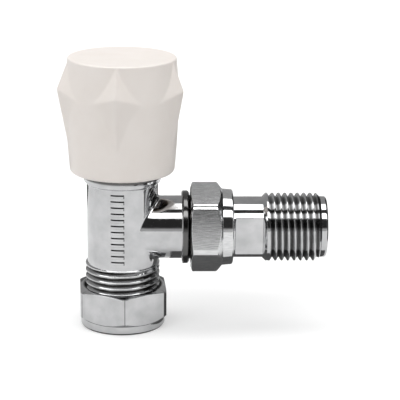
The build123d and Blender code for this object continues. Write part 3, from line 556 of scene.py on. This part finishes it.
neck_radius = np.interp(neck_places, [tail_cone_start, tail_cone_end], [tail_neck, tail_crest])
between_flats = np.abs(np.cos(tail_turns - tail_flat_turn))
flat_radius = (tail_flat + run_out(neck_places)) / np.maximum(between_flats, 1e-3)
inside_flat = (neck_places > tail_flat_start) & (neck_places < tail_flat_end)
neck_radius = np.where(inside_flat, soft_least(neck_radius, flat_radius, 0.04), neck_radius + 0 * tail_turns)
tail_thread = screw_thread(tail_cone_end, tail_thread_end, tail_crest, tail_thread_phase, tail_run_out,
                           tail_fading, tail_turns)
tail_patches = [
    branch_lathe([(tail_outlet_seam, tail_outlet), (tail_outlet_depth, tail_outlet),
                  (tail_outlet_depth, tail_bore), (tail_tip, tail_bore), (tail_tip, tail_tip_radius),
                  (tail_head_start, tail_head_radius), (tail_head_start, tail_neck),
                  (ring_slot_start, tail_neck), (ring_slot_start, ring_slot_radius),
                  (ring_slot_end, ring_slot_radius), (ring_slot_end, tail_neck), (neck_start, tail_neck)],
                 tail_turns, 0.08),
    about_branch(neck_places, neck_radius, tail_turns),
    about_branch(tail_thread[0], tail_thread[1], tail_turns),
    branch_lathe([(tail_thread_end, tail_crest - thread_depth + 0.05), (tail_thread_end, tail_nose),
                  (tail_end - 0.4, tail_nose), (tail_end, tail_nose - 0.35), (tail_end, tail_outlet),
                  (tail_outlet_seam, tail_outlet)], tail_turns, [0.05, 0.35, 0.35, 0.15]),
]
radiator_tail = join_patches("radiator_tail_plated", tail_patches, "tail", "radiator_tail")


def tail_painted_shade_and_dirt(x, off_branch, z, off_spindle, turn):
    """Painted shade, with some dirt: dark in the grooves of the pipe thread."""
    groove = (tail_crest - 0.72 - off_branch) / 0.5
    return groove * (x > tail_cone_end) * (x < tail_thread_end) * (off_branch > 8.8)


add_painted_shade_and_dirt(radiator_tail, tail_painted_shade_and_dirt)
radiator_tail.data.materials.append(chrome)

# Handwheel. One off-white moulding, a cup open at the bottom. Five kite-shaped lobes of four facets each give
# the hand a grip, a plain skirt hides the headwork, and a hub inside is pushed on the spindle's square.
wheel_bottom, wheel_top = 47.1, 80.9
wheel_disc, wheel_waist, waist_height = 15.8, 16.8, 70.3
wheel_shoulder, shoulder_height, wheel_foot = 15.95, 55.0, 15.3
lobe_reach, lobe_height, lobe_half = 19.3, 72.2, np.radians(21.5)
lobe_first = np.radians(-95.0)
wheel_wall, wheel_roof = 1.7, 78.9
hub_radius, hub_foot, socket_radius, socket_roof = 6.3, 62.15, 4.3, 70.55
top_rounding, foot_rounding = 0.45, 1.0
wheel_columns = 420
facet_softness = 0.2


def facet(corner, crown, end):
    """Plane through three points (radius along the lobe, across it, height): its outward normal, and how
    far it lies from the axis point at height zero."""
    normal = np.cross(np.subtract(corner, crown), np.subtract(end, crown))
    normal *= np.sign(normal[0]) / np.linalg.norm(normal)
    return normal, normal @ np.array(crown)


def wheel_radius(turn, height):
    """The larger of a turned waist and of five lobes, each the least of four planes met by a ray from the
    axis: (distance - normal z height) / (normal x cos + normal y sin), with every crease softened."""
    skirt = np.interp(height, [wheel_bottom, shoulder_height], [wheel_foot, wheel_shoulder])
    skirt = skirt + np.maximum(height - shoulder_height, 0) * (wheel_waist - wheel_shoulder) / (
        waist_height - shoulder_height)
    neck = wheel_disc + (wheel_top - height) * (wheel_waist - wheel_disc) / (wheel_top - waist_height)
    waist = soft_least(skirt, neck, 0.6)
    apex, crown = (wheel_disc, 0, wheel_top), (lobe_reach, 0, lobe_height)
    tip = (wheel_shoulder, 0, shoulder_height)
    from_lobe = (turn - lobe_first + np.pi / 5) % (full_turn / 5) - np.pi / 5
    reach = []
    for end in (apex, tip):
        both = []
        for hand in (1, -1):
            corner = (wheel_waist * np.cos(lobe_half), hand * wheel_waist * np.sin(lobe_half), waist_height)
            normal, distance = facet(corner, crown, end)
            along = normal[0] * np.cos(from_lobe) + normal[1] * np.sin(from_lobe)
            both.append((distance - normal[2] * height) / np.maximum(along, 0.05))
        reach.append(soft_least(both[0], both[1], facet_softness))
    lobe = soft_least(reach[0], reach[1], facet_softness)
    return -soft_least(-waist, -lobe, facet_softness * 0.7)


wheel_turns = np.linspace(0, full_turn, wheel_columns + 1)
side_heights = np.linspace(wheel_bottom + foot_rounding, wheel_top - top_rounding, 138)[:, None]
outside = wheel_radius(wheel_turns, side_heights)
edge_sweep = np.linspace(0, np.pi / 2, 7)[1:, None]
edge_heights = wheel_top - top_rounding * (1 - np.sin(edge_sweep))
edge_radii = wheel_radius(wheel_turns, edge_heights) - top_rounding * (1 - np.cos(edge_sweep))
disc_share = np.array([0.985, 0.9, 0.7, 0.45, 0.2, 0.0])[:, None]
foot_sweep = np.linspace(0, np.pi / 2, 7)[:-1, None]
foot_heights = wheel_bottom + foot_rounding * (1 - np.cos(foot_sweep))
foot_ring = wheel_radius(wheel_turns, wheel_bottom + foot_rounding)
foot_radii = foot_ring - foot_rounding * (1 - np.sin(foot_sweep))
inner_heights = np.linspace(wheel_bottom + 0.3, wheel_roof, 30)[:, None]
inner_radii = wheel_radius(wheel_turns, inner_heights) - wheel_wall
hub = soften([(13.0, wheel_roof), (hub_radius, wheel_roof), (hub_radius, hub_foot), (socket_radius, hub_foot),
              (socket_radius, socket_roof), (0.0, socket_roof)], 0.15)
every_turn = np.ones_like(wheel_turns)
wheel_radii = np.concatenate([hub[::-1, :1] * every_turn, inner_radii[::-1], foot_radii, outside, edge_radii,
                              disc_share * edge_radii[-1]])
wheel_heights = np.concatenate([hub[::-1, 1:], inner_heights[::-1], foot_heights, side_heights, edge_heights,
                                np.full_like(disc_share, wheel_top)]) * every_turn
wheel_patches = [about_spindle(wheel_radii, wheel_heights, wheel_turns)]

# Five webs join the hub to the skirt between the lobes. Each is a closed profile (across, height) carried
# outwards from inside the hub's wall to inside the skirt's, and drawn together to a point at both ends.
web_half, web_foot, web_head, web_start, web_end = 0.6, 64.75, wheel_roof + 0.3, 5.9, 15.4
web_profile = soften([(0, web_head), (-web_half, web_head), (-web_half, web_foot), (web_half, web_foot),
                      (web_half, web_head), (0, web_head)], [0.1, 0.3, 0.3, 0.1])
web_reach = np.concatenate([[web_start], np.linspace(web_start, web_end, 9), [web_end]])
web_fullness = np.concatenate([[0], np.ones(9), [0]])
web_middle = np.array([0, (web_foot + web_head) / 2])
web_section = web_middle + (web_profile - web_middle)[:, None, :] * web_fullness[None, :, None]
for web in range(5):
    web_turn = lobe_first + np.pi / 5 + web * full_turn / 5
    web_x = web_reach * np.cos(web_turn) - web_section[..., 0] * np.sin(web_turn)
    web_y = web_reach * np.sin(web_turn) + web_section[..., 0] * np.cos(web_turn)
    wheel_patches.append(np.stack([web_x, web_y, web_section[..., 1]], axis=-1))
handwheel = join_patches("handwheel_moulding", wheel_patches, "wheel", "handwheel",
                         sharp=60.0)


def moulded_plastic(name, dark, light, roughness, stipple):
    """Moulded plastic: slight cloudiness, handling marks in the gloss, and a fine stipple."""
    material, tree, finish = shader(name, light, 0.0, roughness)
    tree.links.new(tinted(tree, grain(tree, 9.0, 5.0), dark, light), finish.inputs["Base Color"])
    tree.links.new(spread_of(tree, grain(tree, 2.5, 6.0), roughness - 0.06, roughness + 0.08),
                   finish.inputs["Roughness"])
    bumped(tree, finish, grain(tree, 0.35, 2.0), stipple)
    return material


handwheel.data.materials.append(
    moulded_plastic("wheel_plastic", (0.90, 0.84, 0.79), (0.93, 0.875, 0.83), 0.34, 0.005))

# Inside parts. Turned brass headwork, spindle, jumper and olive, rings of spring steel, a plastic slip washer
# and rubber seals. They keep the frame's own meshes, and each gets the finish that it is made with.


def turned_metal(name, dark, light, low, high, ring_size):
    """Machined metal: fine tool marks as stretched grain, with brighter and duller patches."""
    material, tree, finish = shader(name, light, 1.0, low)
    tree.links.new(tinted(tree, grain(tree, 3.0, 5.0), dark, light), finish.inputs["Base Color"])
    tree.links.new(spread_of(tree, grain(tree, 0.8, 5.0), low, high), finish.inputs["Roughness"])
    bumped(tree, finish, grain(tree, ring_size, 2.0, (0.2, 0.2, 1)), 0.006)
    return material


inside_finishes = {
    "brass": turned_metal("machined_brass", (0.66, 0.47, 0.20), (0.80, 0.61, 0.31), 0.2, 0.36, 0.2),
    "spring_steel": turned_metal("spring_steel", (0.45, 0.46, 0.48), (0.58, 0.59, 0.61), 0.18, 0.3, 0.3),
    "slip_plastic": moulded_plastic("slip_plastic", (0.90, 0.90, 0.87), (0.95, 0.95, 0.92), 0.45, 0.004),
    "seal_rubber": moulded_plastic("seal_rubber", (0.03, 0.03, 0.03), (0.055, 0.055, 0.055), 0.5, 0.008),
}
for subpart in frame["record"]["subparts"]:
    if subpart["material_slot"] in inside_finishes:
        node = frame["nodes"][subpart["node"]]
        for place in node.material_slots:
            place.material = inside_finishes[subpart["material_slot"]]

# Studio. A plain pale floor that the valve stands on, under two long soft boxes. The plated brass shows them
# as bright and dark bands, and cards that the camera doesn't see shape its reflections.
bpy.ops.mesh.primitive_grid_add(x_subdivisions=2, y_subdivisions=2, size=6.0, location=(0, 0, -0.00002))
floor = bpy.context.object
floor.name = "floor"


def floor_paint():
    """Matt pale floor that the camera and reflections see a little brighter, so that it reads as white."""
    material = bpy.data.materials.new("floor_paper")
    material.use_nodes = True
    tree = material.node_tree
    tree.nodes.clear()
    paper = add_node(tree, "ShaderNodeBsdfDiffuse", {"Color": (0.62, 0.62, 0.62, 1)})
    rays = add_node(tree, "ShaderNodeLightPath")
    camera_glow = add_node(tree, "ShaderNodeMath", {0: rays.outputs["Is Camera Ray"], 1: 0.42},
                           operation="MULTIPLY")
    glow = add_node(tree, "ShaderNodeMath", {0: rays.outputs["Is Glossy Ray"], 1: 0.2,
                                             2: camera_glow.outputs[0]}, operation="MULTIPLY_ADD")
    lit = add_node(tree, "ShaderNodeEmission", {"Color": (1, 1, 1, 1), "Strength": glow.outputs[0]})
    both = add_node(tree, "ShaderNodeAddShader", {0: paper.outputs[0], 1: lit.outputs[0]})
    add_node(tree, "ShaderNodeOutputMaterial", {0: both.outputs[0]})
    return material


floor.data.materials.append(floor_paint())

# Bands of light by the angle above the horizon in front: angle in degrees, and brightness
light_bands = [(-180, 0.5), (6, 0.5), (13, 0.03), (46, 0.03), (49, 3.7), (67, 3.7), (68, 0.04), (83, 0.04),
               (85, 3.2), (108, 3.2), (112, 0.35), (180, 0.35)]
brightest = 3.7


def studio_world():
    """Brightness of the studio by direction: bands by the angle about X, which give way to an even grey far
    to the left and right. The camera itself sees plain white."""
    world = bpy.data.worlds.new("studio")
    world.use_nodes = True
    tree = world.node_tree
    tree.nodes.clear()
    direction = add_node(tree, "ShaderNodeTexCoord").outputs["Generated"]
    parts = add_node(tree, "ShaderNodeSeparateXYZ", {"Vector": direction})
    front = add_node(tree, "ShaderNodeMath", {0: parts.outputs["Y"], 1: -1.0}, operation="MULTIPLY")
    angle = add_node(tree, "ShaderNodeMath", {0: parts.outputs["Z"], 1: front.outputs[0]},
                     operation="ARCTAN2")
    share = add_node(tree, "ShaderNodeMapRange", {"Value": angle.outputs[0], "From Min": -np.pi,
                                                  "From Max": np.pi})
    ramp = add_node(tree, "ShaderNodeValToRGB", {"Fac": share.outputs[0]})
    stops = ramp.color_ramp.elements
    for number, (degrees, brightness) in enumerate(light_bands):
        place = (degrees + 180) / 360
        stop = stops[number] if number < 2 else stops.new(place)
        stop.position = place
        stop.color = (*([brightness / brightest] * 3), 1)
    bands = add_node(tree, "ShaderNodeMath", {0: ramp.outputs[0], 1: brightest}, operation="MULTIPLY")
    side_light = add_node(tree, "ShaderNodeMapRange", {"Value": parts.outputs["X"], "From Min": -0.8,
                                                       "From Max": 0.8, "To Min": 0.34, "To Max": 0.38})
    width = add_node(tree, "ShaderNodeMath", {0: parts.outputs["X"]}, operation="ABSOLUTE")
    edge = add_node(tree, "ShaderNodeMapRange", {"Value": width.outputs[0], "From Min": 0.66,
                                                 "From Max": 0.74})
    mixed = add_node(tree, "ShaderNodeMix", data_type="FLOAT")
    tree.links.new(edge.outputs[0], mixed.inputs["Factor"])
    tree.links.new(bands.outputs[0], mixed.inputs["A"])
    tree.links.new(side_light.outputs[0], mixed.inputs["B"])
    lit = add_node(tree, "ShaderNodeBackground", {"Strength": mixed.outputs["Result"]})
    white = add_node(tree, "ShaderNodeBackground", {"Strength": 1.0})
    lit.inputs["Color"].default_value = white.inputs["Color"].default_value = (1, 1, 1, 1)
    seen = add_node(tree, "ShaderNodeLightPath").outputs["Is Camera Ray"]
    pick = add_node(tree, "ShaderNodeMixShader", {"Fac": seen})
    tree.links.new(lit.outputs[0], pick.inputs[1])
    tree.links.new(white.outputs[0], pick.inputs[2])
    out = add_node(tree, "ShaderNodeOutputWorld")
    tree.links.new(pick.outputs[0], out.inputs[0])
    return world


bpy.context.scene.world = studio_world()


def card(name, corner, first_side, second_side, brightness):
    """A flat glowing card from a corner along two sides, in millimetres, that the camera doesn't see."""
    along = np.array([(0, 0), (1, 0), (1, 1), (0, 1)]) @ np.array([first_side, second_side], float)
    mesh = bpy.data.meshes.new(name)
    mesh.from_pydata((along + corner) * MILLIMETRE, [], [(0, 1, 2, 3)])
    piece = bpy.data.objects.new(name, mesh)
    bpy.context.scene.collection.objects.link(piece)
    material = bpy.data.materials.new(name)
    material.use_nodes = True
    material.node_tree.nodes.clear()
    glow = add_node(material.node_tree, "ShaderNodeEmission", {"Color": (1, 1, 1, 1), "Strength": brightness})
    out = add_node(material.node_tree, "ShaderNodeOutputMaterial")
    material.node_tree.links.new(glow.outputs[0], out.inputs[0])
    mesh.materials.append(material)
    piece.visible_camera = piece.visible_diffuse = piece.visible_shadow = False
    return piece


card("dark_card_right", (112, -38, 0.1), (0, 190, 0), (0, 0, 180), 0.02)
pale_card = card("pale_card_left", (-160, -270, 0), (0, 420, 0), (0, 0, 120), 0.8)
pale_card.visible_diffuse = True
card("dark_card_behind", (-100, 120, 0), (270, 0, 0), (0, 0, 34), 0.12)
# Painted shadow: a dim card flat on the floor under the branch and tail, seen only in reflections, stands in
# for the valve's shadow there.
card("shadow_card_below", (14.5, -10, 0.05), (48, 0, 0), (0, 64, 0), 0.10)

# Camera. A long lens in front of the valve and a little above it, turned slightly towards the tail. Its
# place is in millimetres, its turns in degrees, and its focal length in pixels of a 400 pixel picture.
focal_length_pixels, picture_pixels, sensor_width = 1641.8, 400, 36
camera_place = np.array([6.148, -466.0, 172.012]) * MILLIMETRE
pitch, yaw, roll = np.radians([-16.043, 2.056, 0.570])
forward = np.array([np.sin(yaw) * np.cos(pitch), np.cos(yaw) * np.cos(pitch), np.sin(pitch)])
level = np.cross(forward, [0, 0, 1])
level /= np.linalg.norm(level)
upright = np.cross(level, forward)
right = level * np.cos(roll) + upright * np.sin(roll)
above = -level * np.sin(roll) + upright * np.cos(roll)
lens = bpy.data.cameras.new("camera")
lens.lens = focal_length_pixels / picture_pixels * sensor_width
lens.sensor_width = sensor_width
lens.clip_start, lens.clip_end = 0.01, 20
camera = bpy.data.objects.new("camera", lens)
bpy.context.scene.collection.objects.link(camera)
camera.matrix_world = Matrix([[*row, place] for row, place in zip(np.stack([right, above, -forward], 1),
                                                                  camera_place)] + [[0, 0, 0, 1]])
bpy.context.scene.camera = camera
bpy.context.scene.view_settings.view_transform = "Standard"
